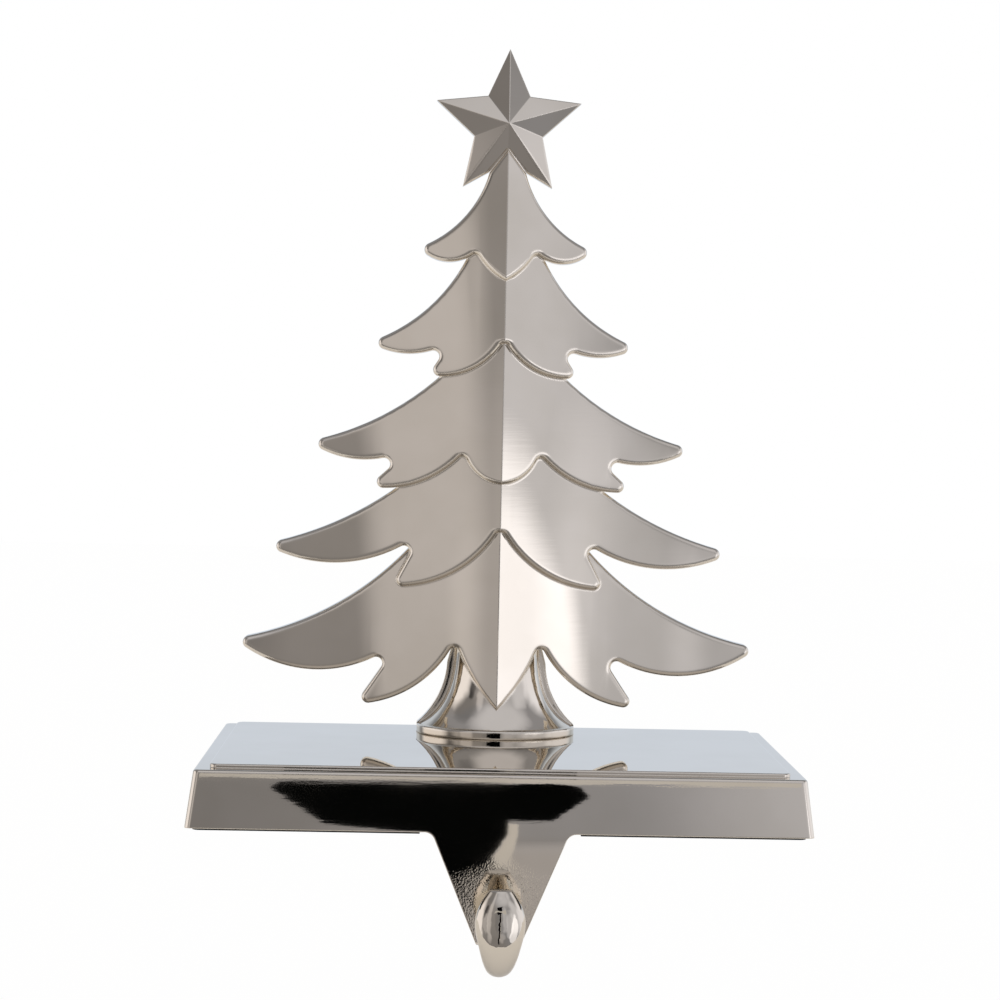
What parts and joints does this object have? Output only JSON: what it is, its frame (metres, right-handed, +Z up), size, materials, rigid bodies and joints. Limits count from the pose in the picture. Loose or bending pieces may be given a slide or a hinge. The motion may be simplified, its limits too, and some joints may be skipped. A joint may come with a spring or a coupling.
{
  "type": "mantel stocking holder",
  "caption": "Polished nickel stocking holder for a mantel shelf: a star-topped tree figure on a flat base whose front tongue ends in an upturned hook.",
  "frame": {"origin": "centre of the base's length and depth, on the underside of the non-slip sheet, where the shelf's top is", "axes": "+Z up, +X to the right seen from the front, -Y to the front, where the hook is"},
  "size_m": [0.112, 0.0751, 0.1703],
  "materials": {
    "nickel_base": "polished nickel plate on a metal casting",
    "nickel_tree": "polished nickel plate on a metal casting",
    "pad": "matt black foam rubber sheet",
    "screws": "zinc-plated steel"
  },
  "bodies": {
    "root": {"mantel_base": "nickel_base", "tree_figure": "nickel_tree", "base_pad": "pad", "fixing_screw_left": "screws", "fixing_screw_right": "screws"}
  },
  "joints": []
}
